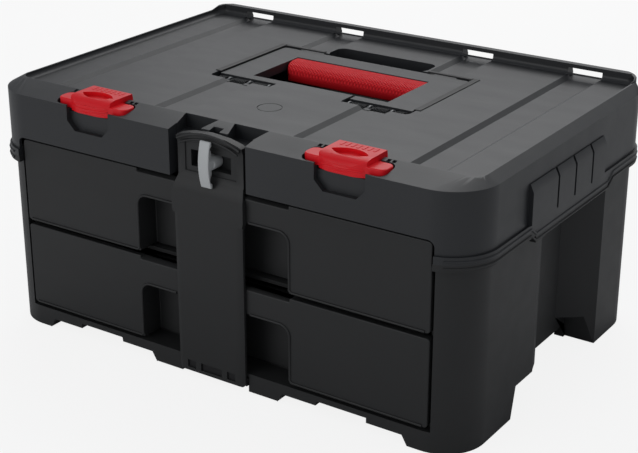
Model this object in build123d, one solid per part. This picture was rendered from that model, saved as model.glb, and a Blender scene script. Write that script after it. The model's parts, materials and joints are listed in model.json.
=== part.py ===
"""Portable tool box with two drawers, built as separate parts in one frame.

Millimetres, +Z up, the front toward -Y. The origin is the bottom centre of
the whole box.
"""

import os

from build123d import *

# ---- overall -------------------------------------------------------------
WIDTH = 481.0          # over the cover walls
DEPTH = 332.0          # over the cover walls
HALF = WIDTH / 2
BEAD = 1.8             # bulge of the two meeting beads
KNOB_PROUD = 5.0       # knob in front of the cover
FRONT = -(DEPTH + BEAD - KNOB_PROUD) / 2
BACK = FRONT + DEPTH
WALL = 3.0
CORNER_R = 40.0

# ---- cover ---------------------------------------------------------------
SHOULDER_Z = 220.0
RIM_Z = 225.5
RIM_SIDE_IN = 9.8
RIM_FRONT_IN = 27.0
RIM_R = 12.0
RIM_HALF = HALF - RIM_SIDE_IN
DECK_Z = 220.0
CHANNEL_Z = 217.0
CHANNELS = ((55.0, 87.0), (163.0, 196.0))
CAVITY_Z = 214.0
BACK_RAIL_Z = 229.5
BACK_RAIL_IN = 11.0    # inner face of the rail, from the back wall
REAR_WINDOW_Z = (216.6, 226.0)
APRON_Z = 180.5
SEAM_Z = 162.5         # where cover and housing meet
DIP_Y = (-62.0, 75.0)  # the seam's dip under each side grip
DIP_Z = 156.0

RECESS_HALF = 38.5     # upright recess for the bar
RECESS_BACK = FRONT + 11.0

# ---- housing -------------------------------------------------------------
BODY_HALF = HALF - 3.5
BODY_FRONT = FRONT + 3.2
BODY_BACK = BACK - 3.2
BODY_R = 37.0
BODY_TOP = 172.0
BAY_HALF = BODY_HALF - 34.0
JAMB_HALF = BAY_HALF + 5.5
APRON_HALF = JAMB_HALF + 0.5
BAY_FRONT = FRONT + 11.8
BAY_BACK = BODY_BACK - WALL
FLOOR_Z = 18.0
SHELF_Z = (98.5, 101.8)
RECESS_Y = (1.0, 82.0)  # hand recess in each side
RECESS_TOP = 153.0
RECESS_DEEP = BAY_HALF + 6.0

# ---- drawers -------------------------------------------------------------
FRONT_HALF = JAMB_HALF - 2.5
FRONT_FACE = FRONT + 3.0
FRONT_THICK = 8.0
DRAWER_Z = ((21.3, 98.3), (102.5, 178.0))
POCKET_HALF = 76.5
POCKET_HIGH = 51.5
POCKET_DEEP = 22.0
POCKET_R = 9.0
TRAY_HALF = BAY_HALF - 5.0
TRAY_BACK = BAY_BACK - 11.4
TRAY_WALL = 2.5
TRAY_LIFT = 0.2        # tray floor above what it slides on
TRAY_TOPS = (90.0, 168.0)
BEVEL = (4.0, 12.0)    # drop of the face's top edge, depth of the bevel

# ---- bar -----------------------------------------------------------------
BAR_HALF = 34.5
BAR_FLARE = 36.2       # at the shoulder
BAR_UPPER_HALF = 33.0
BAR_AXIS = (FRONT + 6.0, 9.5)
BAR_BACK = FRONT + 2.4
BAR_FACE = FRONT - 2.0
BAR_UPPER_FACE = FRONT + 4.5
BAR_UPPER_BACK = FRONT + 9.0
BAR_SHOULDER = (170.0, 182.5)
WINDOW_HALF = 20.0
WINDOW_Z = (191.0, 205.0)
CUP_FLOOR_Y = FRONT + 14.0
CUP_WELL_Y = CUP_FLOOR_Y + 5.0
PIN_R = 1.5
PIN_FIT = 0.05         # running clearance on the radius

# ---- knob ----------------------------------------------------------------
KNOB_Z = 197.5
KNOB_FRONT = FRONT - KNOB_PROUD
FIN_THICK = 10.5
FIN_LONG = 39.5
SPINDLE_R = 2.4

# ---- handle --------------------------------------------------------------
HANDLE_AXIS = (-19.4, 214.0)
HANDLE_HALF = 100.4
HANDLE_GAP = 3.1       # between the lying handle and the well's sides
WELL_HALF = HANDLE_HALF + HANDLE_GAP
TONGUE_HALF = HANDLE_HALF - 63.4
KNUCKLES = ((55.9, 40.9), (33.9, 18.9), (11.9, 3.4))  # in from the handle's sides
EARS = ((60.4, 56.4), (40.4, 34.4), (18.4, 12.4))
PIN_ENDS = (61.4, 8.4)
WELL_Y = (-26.0, 90.0)
HANDLE_TOP = 219.2
HANDLE_THICK = 8.0
HANDLE_REAR = 88.0
BARREL_R = 3.4
HANDLE_PIN_R = 1.6

# ---- latches -------------------------------------------------------------
LATCH_X = 126.0
LATCH_HALF = 21.5
LATCH_TOP = 229.0
WING_HALF = 37.0
LATCH_TRAVEL = 2.5
LATCH_FRONT = FRONT + 0.4
WING_FRONT = FRONT + 4.4
WING_REAR = FRONT + 21.4


def box(x0, x1, y0, y1, z0, z1):
    """An axis-aligned block from its limits."""
    solid = Box(x1 - x0, y1 - y0, z1 - z0)
    return Pos((x0 + x1) / 2, (y0 + y1) / 2, (z0 + z1) / 2) * solid


def rounded_prism(half_x, y0, y1, z0, z1, radius):
    """A vertical prism with rounded plan corners."""
    plan = RectangleRounded(2 * half_x, y1 - y0, radius)
    return extrude(Pos(0, (y0 + y1) / 2, z0) * plan, z1 - z0)


def slab_xz(points, y0, y1):
    """A polygon in the XZ plane carried from y0 to y1."""
    face = Plane.XZ * make_face(Polyline(*points, close=True))
    return Pos(0, y1, 0) * extrude(face, y1 - y0)


def slab_yz(points, x0, x1):
    """A polygon of (y, z) points carried from x0 to x1."""
    face = Plane.YZ * make_face(Polyline(*points, close=True))
    return Pos(x0, 0, 0) * extrude(face, x1 - x0)


def rod_x(x0, x1, y, z, radius):
    """A round rod along X."""
    rod = Rot(0, 90, 0) * Cylinder(radius, x1 - x0)
    return Pos((x0 + x1) / 2, y, z) * rod


def rod_y(x, y0, y1, z, radius):
    """A round rod along Y."""
    rod = Rot(90, 0, 0) * Cylinder(radius, y1 - y0)
    return Pos(x, (y0 + y1) / 2, z) * rod


def rod_z(x, y, z0, z1, radius):
    """A round rod along Z."""
    return Pos(x, y, (z0 + z1) / 2) * Cylinder(radius, z1 - z0)


def both_sides(solid):
    """The solid and its mirror image across the middle plane."""
    return [solid, mirror(solid, Plane.YZ)]


# ---- top cover -----------------------------------------------------------
def cover_outer():
    """Walls, sloping band and side chamfers of the cover as one solid."""
    walls = rounded_prism(WIDTH / 2, FRONT, BACK, SEAM_Z, SHOULDER_Z, CORNER_R)
    low = Pos(0, (FRONT + BACK) / 2, SHOULDER_Z) * RectangleRounded(WIDTH, DEPTH, CORNER_R)
    rim_front = FRONT + RIM_FRONT_IN
    rim_back = BACK - RIM_SIDE_IN
    rim = RectangleRounded(WIDTH - 2 * RIM_SIDE_IN, rim_back - rim_front, RIM_R)
    high = Pos(0, (rim_front + rim_back) / 2, RIM_Z) * rim
    return walls + loft([low, high], ruled=True)


def cover_beads():
    """The bead along the lower edge, and its dip under each side grip."""
    bead = rounded_prism(WIDTH / 2 + BEAD, FRONT - BEAD, BACK + BEAD, SEAM_Z, 169.0, CORNER_R + BEAD)
    return [bead] + both_sides(box(BODY_HALF + 0.3, HALF + BEAD, *DIP_Y, DIP_Z, 164.0))


def deck_recess():
    """The space above the deck, with a cove all round its lower edge."""
    y0 = FRONT + RIM_FRONT_IN + 1.5
    y1 = BACK - BACK_RAIL_IN
    space = rounded_prism(WIDTH / 2 - RIM_SIDE_IN - 1.5, y0, y1, DECK_Z, 234.0, RIM_R - 1.5)
    bottom = space.faces().sort_by(Axis.Z)[0]
    return fillet(bottom.edges(), 4.5)


def channel(x0, x1):
    """One channel with sloped side walls."""
    slope = 4.5
    over = 0.4
    profile = [
        (x0 + slope, CHANNEL_Z), (x1 - slope, CHANNEL_Z),
        (x1 + over, DECK_Z + over), (x0 - over, DECK_Z + over),
    ]
    return slab_xz(profile, FRONT + RIM_FRONT_IN + 3.5, BACK - 9.0)


def deck_channels():
    """Four shallow channels that run back into the rail's windows."""
    cuts = []
    for x0, x1 in CHANNELS:
        for lo, hi in ((x0, x1), (-x1, -x0)):
            cuts.append(channel(lo, hi))
            cuts.append(box(lo, hi, BACK - 12.0, BACK + 3.0, *REAR_WINDOW_Z))
    return cuts


def back_rail():
    """The raised rail along the back and the ramps that lead up to it."""
    y0 = BACK - BACK_RAIL_IN
    y1 = BACK - 3.0
    profile = [
        (y0, 212.0), (y0, BACK_RAIL_Z), (y1 - 1.5, BACK_RAIL_Z),
        (y1, 228.0), (BACK, 219.0), (BACK - 2, 212.0),
    ]
    rail = slab_yz(profile, -RIM_HALF + 4.7, RIM_HALF - 4.7)
    rail &= rounded_prism(HALF - 4.0, FRONT, BACK, 200.0, 240.0, CORNER_R - 4.0)
    slope = [(y0 - 18, 222.0), (y0 - 18, 225.2), (y0, BACK_RAIL_Z), (y0, 222.0)]
    ramp = slab_yz(slope, RIM_HALF - 6.7, RIM_HALF - 1.2)
    ramp &= rounded_prism(HALF - 4.0, FRONT, BACK, 200.0, 240.0, CORNER_R - 4.0)
    return [rail] + both_sides(ramp)


def side_grips():
    """Four upright pads on each side wall, separated by narrow ribs."""
    pads = []
    root, proud = HALF - 2.5, HALF + 4.0
    for y0, y1 in ((-75.0, -31.5), (-28.5, 0.5), (3.5, 33.0), (36.0, 61.0)):
        profile = [(root, 168.0), (proud, 170.0), (proud, 197.0), (HALF + 1.0, 203.5), (root, 203.5)]
        pads.append(slab_xz(profile, y0, y1))
    web = HALF + 2.1
    profile = [(root, 168.0), (web, 168.5), (web, 199.0), (root, 201.0)]
    pads.append(slab_xz(profile, -74.0, 60.0))
    return [piece for pad in pads for piece in both_sides(pad)]


def bar_recess():
    """The upright recess in the cover's front that takes the bar."""
    recess = box(-RECESS_HALF, RECESS_HALF, FRONT - 4, RECESS_BACK, 150.0, 240.0)
    cup_well = box(-24.5, 24.5, RECESS_BACK - 0.6, CUP_WELL_Y, 186.5, 209.5)
    return recess + cup_well


def bar_recess_block():
    """Solid stock behind the bar recess, left as walls once it is cut."""
    stock = box(-RECESS_HALF - 8, RECESS_HALF + 8, FRONT + 1, RECESS_BACK + WALL, APRON_Z, 218.0)
    return stock + box(-27.5, 27.5, RECESS_BACK + 1, CUP_WELL_Y + 2.5, 183.5, 218.0)


def band_pockets():
    """Two funnel-shaped pockets in the band behind the bar."""
    rear, front = FRONT + 28.0, RECESS_BACK - 1.6
    plan = [(8.0, rear), (42.0, rear), (37.5, front), (14.0, front)]
    face = make_face(Polyline(*[(x, y, 213.5) for x, y in plan], close=True))
    pocket = extrude(face, 14.0)
    small = box(-5.0, 5.0, front, RECESS_BACK + 6.4, 215.0, 228.0)
    return both_sides(pocket) + [small]


def band_pocket_block():
    """Stock under the band pockets."""
    return box(-45.0, 45.0, RECESS_BACK - 0.6, FRONT + 32.4, 210.5, 218.0)


def latch_apron_recess(x):
    """The shallow recess under a latch, its lower corners cut off."""
    half, low, cut = 23.0, 198.5, 8.0
    profile = [
        (x - half, 214.6), (x - half, low + cut), (x - half + cut, low),
        (x + half - cut, low), (x + half, low + cut), (x + half, 214.6),
    ]
    return slab_xz(profile, FRONT - 4, FRONT + 5.0)


def latch_pockets():
    """Slots and apron recesses for the two latches."""
    cuts = []
    for side in (-1, 1):
        x = side * LATCH_X
        cuts.append(latch_apron_recess(x))
        cuts.append(box(x - 23.0, x + 23.0, FRONT - 4, FRONT + 35.8, 214.0, 232.0))
        y0, y1 = WING_FRONT - LATCH_TRAVEL - 0.5, WING_REAR + 1.2
        wing = Pos(x, (y0 + y1) / 2, 216.8) * RectangleRounded(2 * WING_HALF + 2.4, y1 - y0, 7.0)
        cuts.append(extrude(wing, 14.0))
        for hole in (-31.0, 31.0):
            for gap in (-4.0, 0.8):
                x0 = x + hole + gap
                cuts.append(box(x0, x0 + 3.2, FRONT + 22.8, FRONT + 26.6, 221.0, 228.0))
    return cuts


def latch_pocket_blocks():
    """Stock that becomes the floors and walls of the latch pockets."""
    blocks = []
    for side in (-1, 1):
        x = side * LATCH_X
        blocks.append(box(x - 42.0, x + 42.0, FRONT + 1, FRONT + 38.8, 211.0, 218.0))
        blocks.append(box(x - 26.0, x + 26.0, FRONT + 1, FRONT + 10.5, 195.5, 218.0))
    return blocks


def handle_well():
    """The space the carrying handle lies in."""
    well = box(-WELL_HALF, WELL_HALF, WELL_Y[0], WELL_Y[1], 190.0, 240.0)
    well = fillet(well.edges().filter_by(Axis.Z), 5.0)
    tongue = box(-TONGUE_HALF, TONGUE_HALF, WELL_Y[0] - 1, -5.9, 189.0, 241.0)
    dip = Pos(0, 101.0, 205.0) * RectangleRounded(106.0, 26.0, 8.0)
    return [well - tongue, extrude(dip, 30.0)]


def handle_well_block():
    """Stock round the handle well."""
    dip_stock = box(-56.0, 56.0, 88.0, 117.0, 202.0, 218.0)
    half = WELL_HALF + WALL
    return [box(-half, half, WELL_Y[0] - WALL, WELL_Y[1] + WALL, 187.0, 218.0), dip_stock]


def cover_cavity():
    """The hollow under the deck, less the stock kept for wells and pockets."""
    inset = WALL + 0.2
    space = rounded_prism(WIDTH / 2 - inset, FRONT + inset, BACK - inset, 150.0, CAVITY_Z, CORNER_R - inset)
    for block in [bar_recess_block(), band_pocket_block()] + latch_pocket_blocks() + handle_well_block():
        space -= block
    return space


def apron_cut():
    """The opening over the drawer fronts, its ends rounded into the flange."""
    opening = box(-APRON_HALF, APRON_HALF, FRONT - 5, FRONT + 9.0, 150.0, APRON_Z)
    return fillet(opening.edges().filter_by(Axis.Y).group_by(Axis.Z)[-1], 6.0)


def hinge_ears():
    """Lugs of the handle hinge with bores for the two pins."""
    ears = []
    for x0, x1 in [(HANDLE_HALF - far, HANDLE_HALF - near) for far, near in EARS]:
        ear = box(x0, x1, WELL_Y[0] - 1, HANDLE_AXIS[0] + 2.0, 200.0, HANDLE_AXIS[1] + 3.4)
        ears.append(ear + rod_x(x0, x1, HANDLE_AXIS[0], HANDLE_AXIS[1], 3.4))
    bore = rod_x(
        HANDLE_HALF - PIN_ENDS[0] - 0.5, HANDLE_HALF - PIN_ENDS[1], *HANDLE_AXIS, HANDLE_PIN_R
    )
    return [both_sides(ear - bore) for ear in ears]


def handle_stops():
    """Low rests in the well that the handle lies on."""
    top = HANDLE_TOP - HANDLE_THICK - 0.2
    return both_sides(box(HANDLE_HALF - 8.4, WELL_HALF + 0.5, 58.0, 80.0, 189.0, top))


def top_cover():
    """The moulded lid: deck, rail, wells, latch pockets and flange."""
    body = cover_outer()
    for part in cover_beads() + back_rail() + side_grips():
        body += part
    body -= cover_cavity()
    body -= deck_recess()
    for cut in deck_channels():
        body -= cut
    body -= handle_well()[0]
    body -= handle_well()[1]
    body -= bar_recess()
    for cut in band_pockets() + latch_pockets():
        body -= cut
    body -= apron_cut()
    for pair in hinge_ears():
        for ear in pair:
            body += ear
    for rest in handle_stops():
        body += rest
    slot = box(-3.4, 3.4, CUP_WELL_Y - 1.6, CUP_WELL_Y + 5.4, KNOB_Z - 8.9, KNOB_Z + 8.9)
    body -= slot
    for x, y in screw_places():
        body += rod_z(x, y, 176.0, 215.0, 5.0)
        body -= rod_z(x, y, 170.0, 200.0, 1.75)
    for x, y in ((-180.0, 1.6), (-3.0, -73.4), (180.0, 1.6)):
        ring = rod_z(x, y, DECK_Z - 0.5, DECK_Z + 1, 11.0) - rod_z(x, y, DECK_Z - 1, DECK_Z + 2, 10.2)
        body -= ring
    return body


# ---- housing -------------------------------------------------------------
def screw_places():
    """Plan positions of the four cover screws."""
    x, front, rear = BODY_HALF - 16.0, BODY_FRONT + 41.2, BODY_BACK - 39.4
    return ((-x, front), (x, front), (-x, rear), (x, rear))


def foot_cuts():
    """Everything cut away below the housing to leave its feet."""
    rail, rear = BODY_FRONT + 22.2, BODY_BACK - 18.4
    cuts = [box(-BAY_HALF + 3, BAY_HALF - 3, rail, rear, -1.0, 13.0)]
    for profile in (
        [(150.5, -1), (150.5, 8.5), (183.5, 8.5), (189.0, -1)],
        [(100.5, -1), (103.0, 13.0), (150.6, 13.0), (150.6, -1)],
        [(63.0, -1), (69.0, 9.0), (103.0, 9.0), (103.0, -1)],
    ):
        cuts += both_sides(slab_xz(profile, BODY_FRONT - 3, rail + 1))
    cuts.append(box(-64.0, 64.0, BODY_FRONT - 3, rail + 1, -1.0, 1.3))
    cuts.append(box(-BODY_HALF + 50, BODY_HALF - 50, rear - 1, BODY_BACK + 3, -1.0, 13.0))
    side = slab_yz([(-79.0, -1), (-72.0, 27.5), (76.0, 27.5), (84.0, -1)], RECESS_DEEP, HALF + 5)
    inner = box(BAY_HALF - 4, RECESS_DEEP + 1, -76.0, 80.0, -1.0, 13.0)
    return cuts + both_sides(side) + both_sides(inner)


def hand_recess():
    """One carrying recess, with a slanted rear wall and a soft front edge."""
    y0, y1 = RECESS_Y
    wall = BODY_HALF
    plan = Polyline(
        (RECESS_DEEP, y0 + 6), (RECESS_DEEP, y1 - 22), (wall - 14, y1 - 12), (wall, y1 + 2),
        (wall + 9, y1 + 11), (wall + 9, y0 - 47), (wall - 0.4, y0 - 43), (wall - 5, y0 - 29),
        (wall - 13, y0 - 13), (wall - 23, y0 - 3),
        close=True,
    )
    prism = extrude(make_face(plan), RECESS_TOP + 1.0)
    return Pos(0, 0, -1) * prism


def column_cavities():
    """Hollows in the side columns, open at the top."""
    x0, x1 = BAY_HALF + WALL, BODY_HALF - WALL
    y0, y1 = BODY_FRONT + WALL, BODY_BACK - WALL
    inside = rounded_prism(x1, y0, y1, 6.0, 200.0, BODY_R - WALL)
    front = box(x0, x1, BAY_FRONT + 6.6, RECESS_Y[0] - 50, 6.0, 200.0)
    rear = box(x0, x1, RECESS_Y[1] + 14, y1, 6.0, 200.0)
    over = box(x0, x1, RECESS_Y[0] - 51, RECESS_Y[1] + 15, RECESS_TOP + 3.5, 200.0)
    return [front & inside, rear & inside, over]


def bar_pocket():
    """The opening under the front edge in which the bar's foot swings."""
    return box(-35.2, 35.2, BODY_FRONT - 3, BAR_AXIS[0] + 8.9, -1.0, FLOOR_Z - 3.0)


def bar_ears():
    """Two lugs that carry the bar's pin between the knuckles."""
    ear = box(12.2, 15.2, BAR_AXIS[0], BAR_AXIS[0] + 9.4, BAR_AXIS[1] - 3.2, BAR_AXIS[1] + 3.2)
    ear += rod_x(12.2, 15.2, BAR_AXIS[0], BAR_AXIS[1], 3.2)
    return both_sides(ear)


def body_beads():
    """The bead along the housing's top edge."""
    half = WIDTH / 2 + BEAD
    return rounded_prism(half, FRONT - BEAD, BACK + BEAD, 157.0, SEAM_Z, CORNER_R + BEAD)


def body_housing():
    """The lower shell: bay, columns, feet, hand recesses and hinge lugs."""
    body = rounded_prism(BODY_HALF, BODY_FRONT, BODY_BACK, 0.0, BODY_TOP, BODY_R)
    body += body_beads()
    for dip in both_sides(box(BODY_HALF, HALF + 5, DIP_Y[0] - 0.2, DIP_Y[1] + 0.2, DIP_Z, 166.0)):
        body -= dip
    for dip in both_sides(box(BODY_HALF - 2, HALF + BEAD, *DIP_Y, DIP_Z - 5.0, DIP_Z)):
        body += dip
    body -= box(-JAMB_HALF, JAMB_HALF, BODY_FRONT - 6, BAY_FRONT, FLOOR_Z, 200.0)
    body -= box(-BAY_HALF, BAY_HALF, BAY_FRONT - 1, BAY_BACK, FLOOR_Z, 200.0)
    for side in both_sides(hand_recess()):
        body -= side
    for cavity in column_cavities():
        for side in both_sides(cavity):
            body -= side
    for cut in foot_cuts():
        body -= cut
    body -= bar_pocket()
    for ear in bar_ears():
        body += ear
    body -= rod_x(-38.0, 38.0, BAR_AXIS[0], BAR_AXIS[1], PIN_R)
    ledge_y = (BAY_FRONT + 12.6, BAY_BACK - 3.4)
    for ledge in both_sides(box(BAY_HALF - 3.6, BAY_HALF + 1, *ledge_y, 94.0, SHELF_Z[0])):
        body += ledge
    for x, y in screw_places():
        body += rod_z(x, y, 120.0, BODY_TOP, 6.5) + box(*pillar_web(x, y), 120.0, BODY_TOP)
        body -= rod_z(x, y, 119.0, BODY_TOP + 1, 2.1)
    return body


def pillar_web(x, y):
    """Plan limits of the web that ties a screw pillar to the column walls."""
    if x > 0:
        return (BAY_HALF + 2, BODY_HALF - 2, y - 1.5, y + 1.5)
    return (-BODY_HALF + 2, -BAY_HALF - 2, y - 1.5, y + 1.5)


def mid_shelf():
    """The shelf between the drawers, lying on the housing's ledges."""
    return box(-BAY_HALF + 0.1, BAY_HALF - 0.1, BAY_FRONT + 6.6, BAY_BACK - 0.1, *SHELF_Z)


def runner(level, side):
    """One guide strip beside a tray."""
    z0 = FLOOR_Z if level == 0 else SHELF_Z[1]
    x0, x1 = TRAY_HALF + 0.5, BAY_HALF - 0.05
    strip = box(x0, x1, BAY_FRONT + 14.6, BAY_BACK - 5.4, z0, z0 + 12.0)
    return strip if side > 0 else mirror(strip, Plane.YZ)


# ---- drawers -------------------------------------------------------------
def drawer_front(level):
    """A drawer front with its finger pocket and bevelled top edge."""
    z0, z1 = DRAWER_Z[level]
    y1 = FRONT_FACE + FRONT_THICK
    slab = box(-FRONT_HALF, FRONT_HALF, FRONT_FACE, y1, z0, z1)
    slab = fillet(slab.edges().filter_by(Axis.Y), 3.0)
    slab = fillet(slab.faces().sort_by(Axis.Y)[0].edges(), 1.0)
    deep, high = FRONT_FACE + POCKET_DEEP, z0 + POCKET_HIGH
    half = POCKET_HALF + TRAY_WALL
    liner = box(-half, half, FRONT_FACE + 4, deep + TRAY_WALL, z0, high + TRAY_WALL)
    hollow = box(-POCKET_HALF, POCKET_HALF, FRONT_FACE - 1, deep, z0 - 1, high)
    hollow = fillet(hollow.edges().filter_by(Axis.Y).group_by(Axis.Z)[-1], POCKET_R)
    drop, run = BEVEL
    slope = [(FRONT_FACE - 1, z1 - drop), (FRONT_FACE - 1, z1 + 2), (FRONT_FACE + run, z1 + 2)]
    wedge = slab_yz(slope, -77.0, 77.0)
    return slab + liner - hollow - wedge


def drawer_tray(level):
    """A drawer's tray, its front wall stepped back round the pocket."""
    z0 = (FLOOR_Z if level == 0 else SHELF_Z[1]) + TRAY_LIFT
    y0 = FRONT_FACE + FRONT_THICK
    top = TRAY_TOPS[level]
    step = FRONT_FACE + POCKET_DEEP + TRAY_WALL + 0.3
    tray = box(-TRAY_HALF, TRAY_HALF, y0, TRAY_BACK, z0, top)
    side = TRAY_HALF - TRAY_WALL
    inner = box(-side, side, y0 + TRAY_WALL, TRAY_BACK - TRAY_WALL, z0 + TRAY_WALL, top + 1)
    half = POCKET_HALF + TRAY_WALL + 0.3
    inner -= box(-half - TRAY_WALL, half + TRAY_WALL, y0, step + TRAY_WALL, z0, top + 1)
    notch = box(-half, half, y0 - 1, step, z0 - 1, top + 1)
    return tray - inner - notch


def tray_divider(level):
    """A cross wall that splits a tray into a front and a rear part."""
    z0 = (FLOOR_Z if level == 0 else SHELF_Z[1]) + TRAY_LIFT + TRAY_WALL
    y = 20.0 if level == 0 else -20.0
    half = TRAY_HALF - TRAY_WALL
    return box(-half, half, y - 1.0, y + 1.0, z0, TRAY_TOPS[level] - 8.0)


# ---- bar and knob --------------------------------------------------------
def bar_plate():
    """The bar's plate from foot to arched lip, in one side profile."""
    profile = [
        (BAR_BACK, 5.0), (BAR_FACE, 6.5), (BAR_FACE, BAR_SHOULDER[0]),
        (BAR_UPPER_FACE, BAR_SHOULDER[1]), (BAR_UPPER_FACE, 210.0), (BAR_UPPER_FACE - 2.5, 216.0),
        (BAR_UPPER_FACE - 2.5, 223.0), (BAR_UPPER_BACK, 223.0), (BAR_UPPER_BACK, 184.5), (BAR_BACK, 174.8),
    ]
    plate = slab_yz(profile, -BAR_FLARE, BAR_FLARE)
    span = (BAR_FACE - 8.6, BAR_FACE + 16.4)
    outline = [
        (BAR_HALF, 0), (BAR_HALF, 148.0), (BAR_FLARE, 154.0), (BAR_FLARE, 170.0),
        (BAR_UPPER_HALF, 181.0), (BAR_UPPER_HALF, 230.0), (45, 230), (45, 0),
    ]
    inner, outer = BAR_HALF - 5.0, BAR_HALF + 4.0
    edge = [
        (inner, BAR_FACE - 0.5), (inner, BAR_FACE),
        (outer, BAR_FACE + 3.2), (outer, BAR_FACE - 0.5),
    ]
    chamfer_cut = extrude(make_face(Polyline(*edge, close=True)), 150.0)
    corner = slab_xz([(29.5, 3.0), (36.0, 3.0), (36.0, 10.5)], *span)
    for cut in (slab_xz(outline, *span), chamfer_cut, corner):
        for side in both_sides(cut):
            plate -= side
    crown = [
        (-36, 230), (-36, 214.0), (-30, 217.5), (-18, 220.5), (0, 222.0),
        (18, 220.5), (30, 217.5), (36, 214.0), (36, 230),
    ]
    return plate - slab_xz(crown, *span)


def locking_bar():
    """The hinged bar with its ribs, cup and knuckles."""
    bar = bar_plate()
    bar -= box(-25.5, 25.5, BAR_UPPER_FACE - 5, BAR_UPPER_FACE + 1.0, 186.5, 211.5)
    half, low, high = WINDOW_HALF + 2.2, WINDOW_Z[0] - 2.2, WINDOW_Z[1] + 2.2
    bar += box(-half, half, BAR_UPPER_BACK - 1, CUP_FLOOR_Y + 2.4, low, high)
    bar -= box(-WINDOW_HALF, WINDOW_HALF, BAR_UPPER_FACE - 5, CUP_FLOOR_Y, *WINDOW_Z)
    bar -= rod_y(0, CUP_FLOOR_Y - 2, CUP_FLOOR_Y + 4, KNOB_Z, SPINDLE_R + PIN_FIT)
    for x0, x1 in ((-34.2, -16.0), (-11.4, 11.4), (16.0, 34.2)):
        knuckle = box(x0, x1, BAR_BACK - 0.5, BAR_AXIS[0], BAR_AXIS[1] - 3.2, BAR_AXIS[1] + 3.2)
        knuckle += rod_x(x0, x1, BAR_AXIS[0], BAR_AXIS[1], 3.2)
        bar += knuckle
    bar -= rod_x(-36.0, 36.0, BAR_AXIS[0], BAR_AXIS[1], PIN_R + PIN_FIT)
    for x0, x1 in ((-25.0, -16.5), (-11.0, 11.0), (16.5, 25.0)):
        bar -= box(x0, x1, BAR_FACE - 3, BAR_FACE + 1.8, 9.5, 16.5)
    return bar


def lock_knob():
    """The turn knob: a tall fin with scooped sides, on a round hub."""
    half = FIN_LONG / 2
    rear = FRONT + 3.9
    end = FRONT + 0.5
    bow = 3.4
    radius = (half**2 + bow**2) / (2 * bow)
    profile = [
        (KNOB_FRONT - 1, -half), (KNOB_FRONT - 1, half), (end, half), (end, half - 4.5),
        (rear, half - 10.0), (rear, -half + 10.0), (end, -half + 4.5), (end, -half),
    ]
    fin = slab_yz([(y, KNOB_Z + z) for y, z in profile], -FIN_THICK / 2, FIN_THICK / 2)
    fin &= rod_x(-10.0, 10.0, KNOB_FRONT + radius, KNOB_Z, radius)
    hub = rod_y(0, rear - 1.0, CUP_FLOOR_Y - 0.1, KNOB_Z, 6.2)
    knob = fin + hub
    boss = rod_y(0, KNOB_FRONT - 1, CUP_FLOOR_Y, KNOB_Z, 6.2)
    scoop = box(2.0, 8.0, KNOB_FRONT + 2.8, rear + 1.5, KNOB_Z - 15.5, KNOB_Z + 15.5)
    scoop = fillet(scoop.edges().filter_by(Axis.X), 2.4) - boss
    for side in both_sides(scoop):
        knob -= side
    return knob - rod_y(0, end, CUP_FLOOR_Y + 1, KNOB_Z, SPINDLE_R)


def knob_spindle():
    """The pin that joins knob and cam through the bar."""
    tip = CUP_WELL_Y + 7.4
    pin = rod_y(0, FRONT + 0.5, tip, KNOB_Z, SPINDLE_R)
    return pin - rod_y(0, tip - 1.4, tip + 1, KNOB_Z, 0.8)


def knob_cam():
    """The flat cam that locks behind the cover's wall."""
    face = CUP_WELL_Y + 3.1
    cam = box(-2.5, 2.5, face, face + 3.0, KNOB_Z - 8.0, KNOB_Z + 8.0)
    return cam - rod_y(0, face - 1, face + 4, KNOB_Z, SPINDLE_R)


def bar_hinge_pin():
    """The steel pin of the bar's hinge."""
    return rod_x(-38.0, 38.0, BAR_AXIS[0], BAR_AXIS[1], PIN_R)


# ---- handle --------------------------------------------------------------
def handle_frame():
    """The U-shaped plate of the carrying handle, with its knuckles."""
    plate = box(-HANDLE_HALF, HANDLE_HALF, -13.5, HANDLE_REAR, HANDLE_TOP - HANDLE_THICK, HANDLE_TOP)
    plate = fillet(plate.edges().filter_by(Axis.Z).group_by(Axis.Y)[-1], 5.0)
    plate -= box(-70.5, 70.5, -4.0, 66.5, 200.0, 220.0)
    near = TONGUE_HALF + 1.5
    plate -= box(-near, near, -20.0, 0.0, 200.0, 220.0)
    for side in (-1, 1):
        for far, near in KNUCKLES:
            lo, hi = sorted((side * (HANDLE_HALF - far), side * (HANDLE_HALF - near)))
            arm = box(lo, hi, HANDLE_AXIS[0], -12.0, HANDLE_AXIS[1] - BARREL_R, HANDLE_AXIS[1] + BARREL_R)
            plate += arm + rod_x(lo, hi, HANDLE_AXIS[0], HANDLE_AXIS[1], BARREL_R)
    plate -= rod_x(-98.0, 98.0, HANDLE_AXIS[0], HANDLE_AXIS[1], HANDLE_PIN_R + PIN_FIT)
    shell = box(-90.0, 90.0, 70.0, 84.5, 207.0, HANDLE_TOP - 3.5)
    return plate - shell


def handle_grip():
    """The soft grip along the inner edge of the handle."""
    top = HANDLE_TOP - 0.4
    profile = [
        (66.4, top), (56.0, top), (49.0, top - 1.6), (44.5, top - 5.0), (42.6, top - 11.0),
        (44.0, top - 16.0), (50.0, top - 18.6), (60.0, top - 18.6), (66.4, top - 14.0),
    ]
    bar = slab_yz(profile, -70.3, 70.3)
    plan = Pos(0, 82.6, 190.0) * RectangleRounded(140.6, 80.0, 10.0)
    return bar & extrude(plan, 40.0)


def handle_pin(side):
    """One steel pin of the handle hinge."""
    x0, x1 = [HANDLE_HALF - inset for inset in PIN_ENDS]
    pin = rod_x(x0, x1, *HANDLE_AXIS, HANDLE_PIN_R)
    return pin if side > 0 else mirror(pin, Plane.YZ)


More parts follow.
